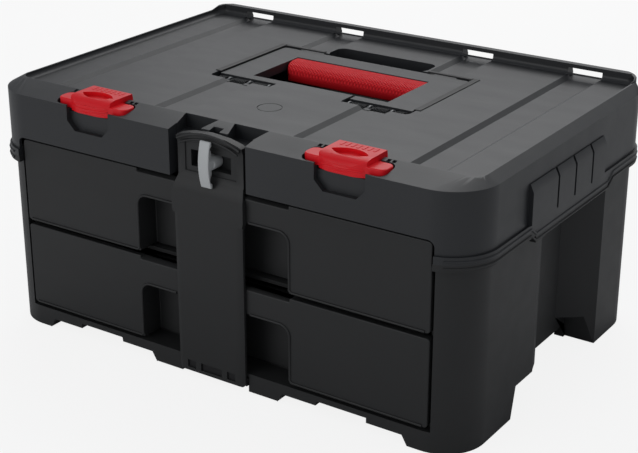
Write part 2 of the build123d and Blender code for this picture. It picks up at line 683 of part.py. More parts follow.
# ---- latches -------------------------------------------------------------
def latch(side):
    """A sliding latch: nosed plate, ridges, finger recess and two wings."""
    profile = [
        (34.2, 225.0), (33.4, LATCH_TOP), (11.0, LATCH_TOP), (6.0, 228.2), (2.6, 226.0), (0.6, 222.6),
        (0.0, 219.0), (1.0, 215.2), (7.0, 215.2), (7.0, 217.0), (34.2, 217.0),
    ]
    plate = slab_yz([(LATCH_FRONT + y, z) for y, z in profile], -LATCH_HALF, LATCH_HALF)
    bow = 4.5
    radius = (LATCH_HALF**2 + bow**2) / (2 * bow)
    plan = rod_z(0, LATCH_FRONT + radius, 200.0, 240.0, radius)
    plate &= plan + box(-30, 30, LATCH_FRONT + bow, LATCH_FRONT + 40, 200.0, 240.0)
    lens_y = LATCH_FRONT + 14.5
    lens_r = 22.0
    arc = lens_r - 7.6
    lens = rod_z(0, lens_y + arc, 225.5, 240.0, lens_r)
    plate -= lens & rod_z(0, lens_y - arc, 225.5, 240.0, lens_r)
    wing_y = (WING_FRONT + WING_REAR) / 2
    wing = Pos(0, wing_y, 217.0) * RectangleRounded(2 * WING_HALF, WING_REAR - WING_FRONT, 6.0)
    wings = extrude(wing, 7.5)
    wings = fillet(wings.faces().sort_by(Axis.Z)[-1].edges(), 1.2)
    return Pos(side * LATCH_X, 0, 0) * (plate + wings)


def cover_screw(x, y):
    """A screw that holds the cover, run up from the housing pillar."""
    shank = rod_z(x, y, 140.0, 192.0, 1.75)
    head = rod_z(x, y, 116.5, 120.0, 4.0)
    return shank + rod_z(x, y, 119.5, 141.0, 1.75) + head


def parts():
    """Every node by name."""
    made = {
        "body_housing": body_housing(),
        "top_cover": top_cover(),
        "mid_shelf": mid_shelf(),
        "bar_hinge_pin": bar_hinge_pin(),
        "locking_bar": locking_bar(),
        "lock_knob": lock_knob(),
        "knob_spindle": knob_spindle(),
        "knob_cam": knob_cam(),
        "handle_frame": handle_frame(),
        "handle_grip": handle_grip(),
    }
    for name, side in (("left", -1), ("right", 1)):
        made[f"handle_pin_{name}"] = handle_pin(side)
        made[f"latch_{name}"] = latch(side)
        made[f"runner_lower_{name}"] = runner(0, side)
        made[f"runner_upper_{name}"] = runner(1, side)
    for level, name in enumerate(("lower", "upper")):
        made[f"drawer_front_{name}"] = drawer_front(level)
        made[f"drawer_tray_{name}"] = drawer_tray(level)
        made[f"tray_divider_{name}"] = tray_divider(level)
    for number, (x, y) in enumerate(screw_places(), start=1):
        made[f"cover_screw_{number}"] = cover_screw(x, y)
    return made


def main():
    """Build and export every part."""
    os.makedirs("parts", exist_ok=True)
    for node, solid in parts().items():
        solid.label = node
        export_step(solid, f"parts/{node}.step")


if __name__ == "__main__":
    main()
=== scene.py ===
"""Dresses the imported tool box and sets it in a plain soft-lit studio."""

import json
import logging
import math
from dataclasses import dataclass
from enum import Enum

import bpy
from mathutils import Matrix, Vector

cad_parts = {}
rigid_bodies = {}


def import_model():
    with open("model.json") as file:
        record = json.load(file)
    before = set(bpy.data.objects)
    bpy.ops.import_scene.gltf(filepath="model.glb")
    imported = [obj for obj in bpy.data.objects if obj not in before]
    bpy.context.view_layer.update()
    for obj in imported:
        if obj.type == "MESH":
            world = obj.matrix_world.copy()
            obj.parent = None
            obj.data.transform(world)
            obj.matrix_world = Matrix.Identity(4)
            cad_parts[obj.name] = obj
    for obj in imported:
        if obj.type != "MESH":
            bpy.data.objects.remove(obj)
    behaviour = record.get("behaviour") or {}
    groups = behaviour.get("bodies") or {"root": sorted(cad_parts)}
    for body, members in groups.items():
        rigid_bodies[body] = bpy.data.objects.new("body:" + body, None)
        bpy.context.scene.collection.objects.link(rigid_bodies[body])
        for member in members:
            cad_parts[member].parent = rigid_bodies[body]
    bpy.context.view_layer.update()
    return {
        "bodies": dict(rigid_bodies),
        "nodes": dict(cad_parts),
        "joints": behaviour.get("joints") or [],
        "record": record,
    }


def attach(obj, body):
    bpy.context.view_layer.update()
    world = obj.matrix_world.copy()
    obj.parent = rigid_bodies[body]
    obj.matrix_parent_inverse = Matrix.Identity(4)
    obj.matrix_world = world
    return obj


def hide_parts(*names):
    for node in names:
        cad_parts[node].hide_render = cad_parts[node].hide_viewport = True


LOG = logging.getLogger("tool_box")
MM = 0.001
Colour = tuple[float, float, float]


class Slot(Enum):
    """The record's material slots."""

    BLACK = "black_plastic"
    GREY = "grey_plastic"
    RED = "red_plastic"
    RUBBER = "red_rubber"
    LIGHT = "light_plastic"
    STEEL = "steel"


class Wave:
    """A value socket that can be used in Python expressions."""

    def __init__(self, shader: "ShaderTree", socket: object) -> None:
        """Keep the socket and the tree it belongs to."""
        self.shader = shader
        self.socket = socket

    def _math(self, operation: str, *values: object) -> "Wave":
        """Add one Math node.

        Args:
            operation: the Math node's operation.
            values: numbers or waves, in socket order.

        Returns:
            The node's result.
        """
        node = self.shader.add("ShaderNodeMath", {"operation": operation}, list(values))
        return Wave(self.shader, node.outputs[0])

    def __add__(self, other: object) -> "Wave":
        """Sum."""
        return self._math("ADD", self, other)

    __radd__ = __add__

    def __sub__(self, other: object) -> "Wave":
        """Difference."""
        return self._math("SUBTRACT", self, other)

    def __rsub__(self, other: object) -> "Wave":
        """Difference with the wave on the right."""
        return self._math("SUBTRACT", other, self)

    def __mul__(self, other: object) -> "Wave":
        """Product."""
        return self._math("MULTIPLY", self, other)

    __rmul__ = __mul__

    def __truediv__(self, other: object) -> "Wave":
        """Quotient."""
        return self._math("DIVIDE", self, other)

    def __rtruediv__(self, other: object) -> "Wave":
        """Quotient with the wave below the line."""
        return self._math("DIVIDE", other, self)

    def sine(self) -> "Wave":
        """Sine of the wave, in radians."""
        return self._math("SINE", self)

    def power(self, exponent: float) -> "Wave":
        """The wave raised to a power."""
        return self._math("POWER", self, exponent)

    def absolute(self) -> "Wave":
        """The wave without its sign."""
        return self._math("ABSOLUTE", self)

    def below(self, limit: float) -> "Wave":
        """1 where the wave is under the limit, else 0."""
        return self._math("LESS_THAN", self, limit)

    def clamped(self) -> "Wave":
        """The wave held between 0 and 1."""
        low = self._math("MAXIMUM", self, 0.0)
        return low._math("MINIMUM", low, 1.0)


class ShaderTree:
    """A material's node tree with short calls for its nodes and links."""

    def __init__(self, name: str) -> None:
        """Start an empty material."""
        self.material = bpy.data.materials.new(name)
        self.material.use_nodes = True
        self.tree = self.material.node_tree
        self.tree.nodes.clear()

    def add(self, kind: str, settings: dict[str, object], values: object) -> bpy.types.Node:
        """Add a node.

        Args:
            kind: the node's type.
            settings: properties that are set before the sockets.
            values: a list in socket order, or a dict by socket name.

        Returns:
            The new node.
        """
        node = self.tree.nodes.new(kind)
        for key, value in settings.items():
            if key == "stops":
                self._stops(node, value)
            else:
                setattr(node, key, value)
        pairs = values.items() if isinstance(values, dict) else enumerate(values)
        for key, value in pairs:
            self._feed(node.inputs[key], value)
        return node

    def _stops(self, node: bpy.types.Node, stops: list[tuple[float, Colour]]) -> None:
        """Set a colour ramp's stops."""
        elements = node.color_ramp.elements
        while len(elements) < len(stops):
            elements.new(0.5)
        for element, (place, colour) in zip(elements, stops):
            element.position = place
            element.color = (*colour, 1.0)

    def _feed(self, socket: object, value: object) -> None:
        """Link a wave or set a plain value."""
        if isinstance(value, Wave):
            self.tree.links.new(value.socket, socket)
        elif isinstance(value, bpy.types.NodeSocket):
            self.tree.links.new(value, socket)
        elif isinstance(value, tuple) and len(value) == 3 and socket.type == "RGBA":
            socket.default_value = (*value, 1.0)
        else:
            socket.default_value = value

    def axes(self) -> tuple[Wave, Wave, Wave]:
        """The object's own x, y and z, in metres."""
        split = self.add("ShaderNodeSeparateXYZ", {}, [self.place()])
        x, y, z = split.outputs
        return Wave(self, x), Wave(self, y), Wave(self, z)

    def place(self) -> bpy.types.NodeSocket:
        """The Object coordinate socket."""
        return self.add("ShaderNodeTexCoord", {}, []).outputs["Object"]

    def noise(self, scale: float, detail: float = 3.0, stretch: Colour = (1.0, 1.0, 1.0)) -> Wave:
        """Fractal noise on the object.

        Args:
            scale: features per metre.
            detail: octaves.
            stretch: scale of each axis.

        Returns:
            The noise value from 0 to 1.
        """
        mapping = self.add("ShaderNodeMapping", {}, {"Vector": self.place(), "Scale": stretch})
        node = self.add(
            "ShaderNodeTexNoise", {}, {"Vector": mapping.outputs[0], "Scale": scale, "Detail": detail}
        )
        return Wave(self, node.outputs["Fac"])

    def mix(self, factor: object, low: object, high: object) -> bpy.types.NodeSocket:
        """Blend two colours."""
        node = self.add("ShaderNodeMix", {"data_type": "RGBA"}, [])
        for index, value in ((0, factor), (6, low), (7, high)):
            self._feed(node.inputs[index], value)
        return node.outputs[2]

    def bump(self, height: Wave, distance: float, strength: float) -> bpy.types.NodeSocket:
        """A Bump node's normal."""
        node = self.add(
            "ShaderNodeBump", {}, {"Height": height, "Distance": distance, "Strength": strength}
        )
        return node.outputs[0]

    def finish(self, sockets: dict[str, object]) -> bpy.types.Material:
        """Close the tree with a Principled shader.

        Args:
            sockets: values or links of the shader by socket name.

        Returns:
            The finished material.
        """
        shader = self.add("ShaderNodeBsdfPrincipled", {}, sockets)
        self.add("ShaderNodeOutputMaterial", {}, {"Surface": shader.outputs[0]})
        return self.material


@dataclass(frozen=True)
class MouldedPlastic:
    """Injection-moulded plastic with a fine spark-eroded grain."""

    name: str
    colour: Colour
    roughness: float = 0.46
    grain: float = 0.10
    grain_size: float = 1400.0
    mottle: float = 0.16
    specular: float = 0.5

    def build(self) -> bpy.types.Material:
        """Make the material."""
        tree = ShaderTree(self.name)
        cloud = tree.noise(9.0, 4.0)
        fine = tree.noise(self.grain_size, 2.0)
        scuff = tree.noise(60.0, 6.0, (0.3, 1.0, 1.0))
        dark = tuple(channel * (1.0 - self.mottle) for channel in self.colour)
        light = tuple(channel * (1.0 + self.mottle) for channel in self.colour)
        tone = (cloud * 0.7 + fine * 0.3).clamped()
        rough = self.roughness + (scuff - 0.5) * 0.12 + (fine - 0.5) * 0.06
        return tree.finish(
            {
                "Base Color": tree.mix(tone, dark, light),
                "Roughness": rough,
                "Specular IOR Level": self.specular,
                "Normal": tree.bump(fine, 0.0002, self.grain),
            }
        )


@dataclass(frozen=True)
class DiamondRubber:
    """Soft rubber with a moulded diamond pattern on its upper side, with painted shade in the
    pattern's grooves and a painted highlight on the stud tops.
    """

    name: str
    colour: Colour
    pitch: float = 3.4 * MM
    floor_z: float = 208.0 * MM
    stud_highlight_lift: float = 0.014

    def build(self) -> bpy.types.Material:
        """Make the material."""
        tree = ShaderTree(self.name)
        x, y, z = tree.axes()
        turn = math.pi / self.pitch
        first = ((x + y * 1.6) * turn).sine().absolute()
        second = ((x - y * 1.6) * turn).sine().absolute()
        upper = ((z - self.floor_z) * (1.0 / (2.0 * MM))).clamped()
        studs = (first * second).power(0.6) * upper
        fine = tree.noise(1500.0, 2.0)
        # Painted shade and painted highlight: the grooves between the studs and the side below the
        # pattern are mixed toward half the colour, and the stud tops toward a paler tint.
        groove_shade = tuple(channel * 0.5 for channel in self.colour)
        red, green, blue = self.colour
        pale = (min(1.0, red * 1.1 + self.stud_highlight_lift * 0.2), green + self.stud_highlight_lift, blue + self.stud_highlight_lift)
        shade = (0.35 + studs * 0.65).clamped()
        return tree.finish(
            {
                "Base Color": tree.mix(shade, groove_shade, pale),
                "Roughness": 0.5 + (fine - 0.5) * 0.1,
                "Specular IOR Level": 0.15,
                "Normal": tree.bump(studs + fine * 0.08, 0.0009, 0.8),
            }
        )


@dataclass(frozen=True)
class DrawnSteel:
    """Bright steel wire with fine lines along its length."""

    name: str
    colour: Colour = (0.56, 0.56, 0.57)

    def build(self) -> bpy.types.Material:
        """Make the material."""
        tree = ShaderTree(self.name)
        lines = tree.noise(900.0, 3.0, (0.05, 1.0, 1.0))
        dull = tuple(channel * 0.8 for channel in self.colour)
        return tree.finish(
            {
                "Base Color": tree.mix(lines, dull, self.colour),
                "Metallic": 1.0,
                "Roughness": 0.28 + lines * 0.12,
                "Normal": tree.bump(lines, 0.0001, 0.2),
            }
        )


class Look(Enum):
    """Finishes that stand in for a slot on some small pieces; two of them are painted light, a
    highlight grey for the hinge ridges and a shade black for the gap round the handle and the foot
    windows.
    """

    KNURL = "knurled_black"
    RIDGE = "painted_highlight_ridge"
    RIM = "painted_gap_shade"


class Palette:
    """Every finish of the tool box by slot."""

    def __init__(self) -> None:
        """Build the materials once."""
        finishes = {
            Slot.BLACK: MouldedPlastic(
                "charcoal_plastic", (0.020, 0.0205, 0.021), 0.48, specular=0.36
            ),
            Slot.GREY: MouldedPlastic(
                "cover_plastic", (0.022, 0.0235, 0.026), 0.42, grain=0.14, specular=0.42
            ),
            Slot.RED: MouldedPlastic(
                "latch_red", (0.80, 0.008, 0.016), 0.36, 0.05, mottle=0.06, specular=0.3
            ),
            Slot.RUBBER: DiamondRubber("grip_rubber", (0.88, 0.006, 0.016)),
            Slot.LIGHT: MouldedPlastic("knob_grey", (0.50, 0.515, 0.52), 0.45, 0.06, mottle=0.05),
            Slot.STEEL: DrawnSteel("pin_steel"),
            # The knurl carries the same painted groove shade and stud-top highlight.
            Look.KNURL: DiamondRubber("knurl", (0.012, 0.012, 0.013), 3.0 * MM, 190 * MM, 0.004),
            # Painted highlight: the hinge ridges get a light grey that stands in for the specular
            # highlight along them.
            Look.RIDGE: MouldedPlastic("ridge_highlight_grey", (0.16, 0.165, 0.17), 0.35, 0.05),
            # Painted shade: a near-black finish for strips and plates that stand in for the shade in
            # gaps and small windows.
            Look.RIM: MouldedPlastic("gap_shade_black", (0.012, 0.012, 0.013), 0.45, 0.1, specular=0.3),
        }
        self.made = {slot: finish.build() for slot, finish in finishes.items()}

    def dress(self, piece: bpy.types.Object, look: "Slot | Look") -> None:
        """Give a piece the one material of a slot or look."""
        piece.data.materials.clear()
        piece.data.materials.append(self.made[look])


class Workbench:
    """Short calls for modelling with Blender's own operators."""

    @staticmethod
    def alone(piece: bpy.types.Object) -> None:
        """Select one object and make it active."""
        bpy.ops.object.select_all(action="DESELECT")
        piece.select_set(True)
        bpy.context.view_layer.objects.active = piece

    @staticmethod
    def settle(piece: bpy.types.Object) -> None:
        """Move the object's place and turn into its mesh."""
        Workbench.alone(piece)
        bpy.ops.object.transform_apply(location=True, rotation=True, scale=True)

    @staticmethod
    def apply_all(piece: bpy.types.Object) -> None:
        """Apply every modifier of the piece."""
        Workbench.alone(piece)
        for name in [modifier.name for modifier in piece.modifiers]:
            bpy.ops.object.modifier_apply(modifier=name)

    @staticmethod
    def block(name: str, low: Colour, high: Colour) -> bpy.types.Object:
        """A block from its two corners.

        Args:
            name: the piece's name.
            low: the corner with the least x, y and z.
            high: the opposite corner.

        Returns:
            The piece, its place in its mesh.
        """
        bpy.ops.object.select_all(action="DESELECT")
        middle = tuple((a + b) / 2 for a, b in zip(low, high))
        bpy.ops.mesh.primitive_cube_add(size=1.0, location=middle)
        piece = bpy.context.object
        piece.name = name
        piece.scale = tuple(b - a for a, b in zip(low, high))
        Workbench.settle(piece)
        return piece

    @staticmethod
    def cord(name: str, path: list[Colour], thickness: float) -> bpy.types.Object:
        """A round cord along a path.

        Args:
            name: the piece's name.
            path: its corner points.
            thickness: its radius in metres.

        Returns:
            The piece, as a mesh.
        """
        bpy.ops.object.select_all(action="DESELECT")
        bpy.ops.curve.primitive_bezier_curve_add(location=(0.0, 0.0, 0.0))
        piece = bpy.context.object
        piece.name = name
        piece.data.splines.clear()
        spline = piece.data.splines.new("POLY")
        spline.points.add(len(path) - 1)
        for point, place in zip(spline.points, path):
            point.co = (*place, 1.0)
        piece.data.bevel_depth = thickness
        piece.data.bevel_resolution = 2
        piece.data.use_fill_caps = True
        Workbench.alone(piece)
        bpy.ops.object.convert(target="MESH")
        piece = bpy.context.object
        bpy.ops.object.mode_set(mode="EDIT")
        bpy.ops.mesh.select_all(action="SELECT")
        bpy.ops.mesh.remove_doubles(threshold=0.00001)
        bpy.ops.mesh.normals_make_consistent(inside=False)
        bpy.ops.object.mode_set(mode="OBJECT")
        bpy.ops.object.shade_smooth_by_angle(angle=math.radians(50.0))
        return piece

    @staticmethod
    def spin(piece: bpy.types.Object, angle: float, centre: Colour, axis: Colour, steps: int) -> None:
        """Carry a flat profile round an axis and close the skin.

        Args:
            piece: the object that holds the profile.
            angle: how far it goes, clockwise along the axis.
            centre: a point on the axis.
            axis: the axis.
            steps: facets of the sweep.
        """
        Workbench.alone(piece)
        bpy.ops.object.mode_set(mode="EDIT")
        bpy.ops.mesh.select_all(action="SELECT")
        bpy.ops.mesh.spin(steps=steps, angle=angle, center=centre, axis=axis)
        bpy.ops.mesh.select_all(action="SELECT")
        bpy.ops.mesh.remove_doubles(threshold=0.00001)
        bpy.ops.mesh.normals_make_consistent(inside=False)
        bpy.ops.object.mode_set(mode="OBJECT")

    @staticmethod
    def soften(piece: bpy.types.Object, width: float, segments: int = 2) -> None:
        """Round the sharp edges of a closed mesh.

        Args:
            piece: the object.
            width: the radius in metres.
            segments: facets of the round.
        """
        bevel = piece.modifiers.new("round", "BEVEL")
        bevel.width = width
        bevel.segments = segments
        bevel.limit_method = "ANGLE"
        bevel.angle_limit = math.radians(28.0)
        bevel.use_clamp_overlap = True
        Workbench.apply_all(piece)
        Workbench.even(piece)

    @staticmethod
    def melt(piece: bpy.types.Object, voxel: float) -> None:
        """Turn a hard-edged form into one with soft, flowing edges.

        Args:
            piece: the object.
            voxel: the grain of the new skin in metres.
        """
        skin = piece.modifiers.new("skin", "REMESH")
        skin.mode = "VOXEL"
        skin.voxel_size = voxel
        flow = piece.modifiers.new("flow", "SMOOTH")
        flow.factor = 0.5
        flow.iterations = 8
        Workbench.apply_all(piece)
        Workbench.alone(piece)
        bpy.ops.object.shade_smooth()

    @staticmethod
    def even(piece: bpy.types.Object) -> None:
        """Smooth the rounds while the flat faces stay flat."""
        Workbench.alone(piece)
        bpy.ops.object.shade_smooth_by_angle(angle=math.radians(40.0))
        weighted = piece.modifiers.new("even", "WEIGHTED_NORMAL")
        weighted.keep_sharp = True
        Workbench.apply_all(piece)


@dataclass
class SoftenedNode:
    """A CAD node shown with its moulded edges rounded."""

    node: str
    body: str
    slot: Slot
    radius: float = 0.6 * MM
    segments: int = 2
    voxel: float = 0.0

    def make(self, frame: dict, palette: Palette) -> bpy.types.Object:
        """Copy the node, merge it, round it and put it in the node's place.

        Args:
            frame: the loaded frame.
            palette: the finishes.

        Returns:
            The new piece.
        """
        source = frame["nodes"][self.node]
        piece = bpy.data.objects.new(f"{self.node}_moulded", source.data.copy())
        bpy.context.scene.collection.objects.link(piece)
        Workbench.alone(piece)
        bpy.ops.object.mode_set(mode="EDIT")
        bpy.ops.mesh.select_all(action="SELECT")
        bpy.ops.mesh.remove_doubles(threshold=0.00001)
        bpy.ops.mesh.dissolve_limited(angle_limit=math.radians(0.6))
        bpy.ops.object.mode_set(mode="OBJECT")
        if self.voxel:
            Workbench.melt(piece, self.voxel)
        else:
            Workbench.soften(piece, self.radius, self.segments)
        palette.dress(piece, self.slot)
        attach(piece, self.body)
        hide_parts(self.node)
        LOG.info("%s: %d faces", piece.name, len(piece.data.polygons))
        return piece


@dataclass
class Studio:
    """Camera, lamps, floor and background."""

    camera_place: tuple[float, float, float] = (0.69409, -1.03910, 0.60836)
    camera_target: tuple[float, float, float] = (-0.00475, 0.0016, 0.09663)
    lens: float = 83.88
    shift: tuple[float, float] = (0.0020, -0.0181)
    floor_half: float = 6.0

    def camera(self) -> None:
        """Place the camera at the photograph's viewing angle."""
        data = bpy.data.cameras.new("view")
        data.lens = self.lens
        data.sensor_width = 36.0
        data.shift_x, data.shift_y = self.shift
        data.clip_end = 50.0
        camera = bpy.data.objects.new("view", data)
        bpy.context.scene.collection.objects.link(camera)
        camera.location = self.camera_place
        look = Vector(self.camera_target) - Vector(self.camera_place)
        camera.rotation_euler = look.to_track_quat("-Z", "Y").to_euler()
        bpy.context.scene.camera = camera

    def lamp(self, name: str, place: Colour, target: Colour, size: float, power: float) -> None:
        """Hang one square soft lamp.

        Args:
            name: the lamp's name.
            place: where it hangs.
            target: the point it faces.
            size: its side in metres.
            power: its power in watts.
        """
        data = bpy.data.lights.new(name, "AREA")
        data.size = size
        data.energy = power
        lamp = bpy.data.objects.new(name, data)
        bpy.context.scene.collection.objects.link(lamp)
        lamp.location = place
        look = Vector(target) - Vector(place)
        lamp.rotation_euler = look.to_track_quat("-Z", "Y").to_euler()

    def floor(self) -> None:
        """Lay the pale floor."""
        bpy.ops.object.select_all(action="DESELECT")
        bpy.ops.mesh.primitive_plane_add(size=2 * self.floor_half, location=(0, 0, -0.0002))
        floor = bpy.context.object
        floor.name = "floor"
        Workbench.settle(floor)
        tree = ShaderTree("floor_paint")
        cloud = tree.noise(3.0, 2.0)
        shade = tree.mix(cloud, (0.80, 0.80, 0.80), (0.83, 0.83, 0.83))
        paint = tree.add("ShaderNodeBsdfDiffuse", {}, {"Color": shade})
        white = tree.add("ShaderNodeEmission", {}, {"Color": (1.0, 1.0, 1.0), "Strength": 1.0})
        ray = tree.add("ShaderNodeLightPath", {}, [])
        seen = Wave(tree, ray.outputs["Is Camera Ray"]) * 0.86
        both = tree.add("ShaderNodeMixShader", {}, [seen, paint.outputs[0], white.outputs[0]])
        tree.add("ShaderNodeOutputMaterial", {}, {"Surface": both.outputs[0]})
        floor.data.materials.append(tree.material)

    def background(self) -> None:
        """A white background that lights the object only faintly."""
        world = bpy.data.worlds.new("studio")
        bpy.context.scene.world = world
        world.use_nodes = True
        nodes, links = world.node_tree.nodes, world.node_tree.links
        nodes.clear()
        path = nodes.new("ShaderNodeLightPath")
        fill = nodes.new("ShaderNodeBackground")
        fill.inputs["Color"].default_value = (0.84, 0.86, 0.90, 1.0)
        fill.inputs["Strength"].default_value = 0.38
        white = nodes.new("ShaderNodeBackground")
        white.inputs["Color"].default_value = (1.0, 1.0, 1.0, 1.0)
        mix = nodes.new("ShaderNodeMixShader")
        out = nodes.new("ShaderNodeOutputWorld")
        links.new(path.outputs["Is Camera Ray"], mix.inputs[0])
        links.new(fill.outputs[0], mix.inputs[1])
        links.new(white.outputs[0], mix.inputs[2])
        links.new(mix.outputs[0], out.inputs[0])

    def set_up(self) -> None:
        """Build the whole studio."""
        bpy.context.scene.view_settings.view_transform = "Standard"
        self.camera()
        self.floor()
        self.background()
        self.lamp("overhead", (-0.5, 1.3, 1.6), (0.0, 0.0, 0.2), 1.8, 17.0)
        self.lamp("key", (1.5, -0.9, 1.5), (0.0, 0.0, 0.1), 1.2, 1.6)
        self.lamp("front", (-0.7, -2.0, 0.8), (0.0, 0.0, 0.1), 1.4, 9.5)


@dataclass
class Trim:
    """One small piece and the body it rides on."""

    piece: bpy.types.Object
    body: str
    slot: Slot

    def place(self, palette: Palette, look: Look | None = None) -> None:
        """Dress the piece and tie it to its body."""
        palette.dress(self.piece, look or self.slot)
        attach(self.piece, self.body)


@dataclass
class HingeBarrels:
    """Knurled dark barrels of the handle's hinge, between ridges painted light grey as a highlight.
    """

    arms: tuple[tuple[float, float], ...] = ((44.7, 59.3), (66.7, 81.3), (88.7, 97.0))
    ridges: tuple[float, ...] = (42.2, 63.0, 85.0)
    axis_y: float = -19.4 * MM
    axis_z: float = 213.4 * MM
    radius: float = 4.6 * MM
    arc: float = math.radians(160.0)

    def make(self, palette: Palette) -> None:
        """Make the barrels and ridges of both sides."""
        for side, name in ((-1, "left"), (1, "right")):
            for number, (x0, x1) in enumerate(self.arms, start=1):
                lo, hi = sorted((side * x0 * MM, side * x1 * MM))
                piece = self._cover(f"hinge_cover_{name}_{number}", lo, hi, self.radius)
                Trim(piece, "handle", Slot.BLACK).place(palette, Look.KNURL)
            for number, x in enumerate(self.ridges, start=1):
                middle = side * x * MM
                lo, hi = middle - 0.9 * MM, middle + 0.9 * MM
                piece = self._cover(f"hinge_ridge_{name}_{number}", lo, hi, self.radius + 0.5 * MM)
                # The ridges take the light grey of the painted highlight.
                Trim(piece, "chassis", Slot.GREY).place(palette, Look.RIDGE)

    def _cover(self, name: str, lo: float, hi: float, radius: float) -> bpy.types.Object:
        """One curved cover, spun over the top of the pin's axis.

        Args:
            name: the piece's name.
            lo: its left end.
            hi: its right end.
            radius: its middle radius.

        Returns:
            The piece.
        """
        bpy.ops.object.select_all(action="DESELECT")
        middle = ((lo + hi) / 2, self.axis_y - radius, self.axis_z)
        bpy.ops.mesh.primitive_plane_add(size=1.0, location=middle)
        piece = bpy.context.object
        piece.name = name
        piece.scale = (hi - lo, 1.2 * MM, 1.0)
        Workbench.settle(piece)
        Workbench.spin(piece, self.arc, (0.0, self.axis_y, self.axis_z), (1.0, 0.0, 0.0), 12)
        Workbench.soften(piece, 0.3 * MM)
        return piece


@dataclass
class ArcCord:
    """A round cord bent along an arc, used for ridges and rolled lips."""

    name: str
    centre: tuple[float, float, float]
    radius: float
    span: float
    thickness: float

    def upright(self) -> bpy.types.Object:
        """A cord that arches over its centre, seen from the front."""
        half = self.span / 2
        x, y, z = self.centre
        start = (x + self.radius * math.sin(half), y, z + self.radius * math.cos(half))
        piece = self._ring(start, (0.0, math.pi / 2 + half, 0.0))
        Workbench.spin(piece, self.span, self.centre, (0.0, 1.0, 0.0), 18)
        return self._smooth(piece)

    def level(self) -> bpy.types.Object:
        """A cord that bows toward the front, seen from above."""
        half = self.span / 2
        x, y, z = self.centre
        start = (x - self.radius * math.sin(half), y - self.radius * math.cos(half), z)
        piece = self._ring(start, (0.0, math.pi / 2, -half))
        Workbench.spin(piece, -self.span, self.centre, (0.0, 0.0, 1.0), 18)
        return self._smooth(piece)

    def _ring(self, place: Colour, turn: Colour) -> bpy.types.Object:
        """The cord's round end."""
        bpy.ops.object.select_all(action="DESELECT")
        bpy.ops.mesh.primitive_circle_add(
            vertices=10, radius=self.thickness, fill_type="NGON", location=place, rotation=turn
        )
        piece = bpy.context.object
        piece.name = self.name
        Workbench.settle(piece)
        return piece

    @staticmethod
    def _smooth(piece: bpy.types.Object) -> bpy.types.Object:
        """Smooth the cord's skin."""
        Workbench.alone(piece)
        bpy.ops.object.shade_smooth_by_angle(angle=math.radians(50.0))
        return piece


@dataclass
class LatchRidges:
    """Fine ridges on a latch's bowed nose and teeth at its rear edge."""

    latch_x: float = 126.0 * MM
    nose_y: float = -164.0 * MM
    half: float = 21.5 * MM
    bow: float = 4.5 * MM
    heights: tuple[tuple[float, float], ...] = ((216.9, 0.5), (219.9, 0.1), (222.6, 0.6))
    thickness: float = 0.75 * MM
    teeth: tuple[float, ...] = (-15.0, -10.0, -5.0, 0.0, 5.0, 10.0, 15.0)

    def make(self, palette: Palette) -> None:
        """Make the ridges and teeth of both latches."""
        radius = (self.half**2 + self.bow**2) / (2 * self.bow)
        span = 2 * math.asin((self.half - 2.2 * MM) / radius)
        for side, body, name in ((-1, "latch_l", "left"), (1, "latch_r", "right")):
            x = side * self.latch_x
            for number, (height, inset) in enumerate(self.heights, start=1):
                centre = (x, self.nose_y + inset * MM + radius, height * MM)
                cord = ArcCord(f"latch_ridge_{name}_{number}", centre, radius, span, self.thickness)
                Trim(cord.level(), body, Slot.RED).place(palette)
            for number, offset in enumerate(self.teeth, start=1):
                tooth = Workbench.block(
                    f"latch_tooth_{name}_{number}",
                    (x + (offset - 1.2) * MM, self.nose_y + 24.5 * MM, 228.4 * MM),
                    (x + (offset + 1.2) * MM, self.nose_y + 32.0 * MM, 229.45 * MM),
                )
                Workbench.soften(tooth, 0.4 * MM)
                Trim(tooth, body, Slot.RED).place(palette)


@dataclass
class HandleGapShade:
    """Dark strips round three sides of the lying handle, painted shade of the gap between the handle
    and the deck.
    """

    inner: float = 101.0 * MM
    outer: float = 107.5 * MM
    front: float = -12.0 * MM
    rear: float = 94.0 * MM
    height: tuple[float, float] = (219.2 * MM, 220.7 * MM)

    def make(self, palette: Palette) -> None:
        """Make the two side strips and the two rear strips."""
        low, high = self.height
        for side, name in ((-1, "left"), (1, "right")):
            near, far = sorted((side * self.inner, side * self.outer))
            strip = Workbench.block(
                f"well_rim_{name}", (near, self.front, low), (far, self.rear, high)
            )
            x0, x1 = sorted((side * 56.0 * MM, side * (self.inner - 0.2 * MM)))
            rear = Workbench.block(
                f"well_rim_rear_{name}", (x0, self.rear - 4.4 * MM, low), (x1, self.rear, high)
            )
            for piece in (strip, rear):
                Workbench.soften(piece, 0.7 * MM, 3)
                # The strips are painted shade of the gap round the handle.
                Trim(piece, "chassis", Slot.BLACK).place(palette, Look.RIM)


@dataclass
class BarLip:
    """Two rolled ridges along the arched top edge of the bar."""

    face_y: float = -162.6 * MM
    crown_z: float = 221.0 * MM
    radius: float = 70.0 * MM
    span: float = math.radians(53.0)

    def make(self, palette: Palette) -> None:
        """Make both ridges."""
        for number, (drop, thickness) in enumerate(((0.0, 1.3), (4.2, 0.9)), start=1):
            centre = (0.0, self.face_y + 0.2 * MM, self.crown_z - self.radius)
            radius = self.radius - drop * MM
            cord = ArcCord(f"bar_lip_{number}", centre, radius, self.span, thickness * MM)
            Trim(cord.upright(), "bar", Slot.BLACK).place(palette)


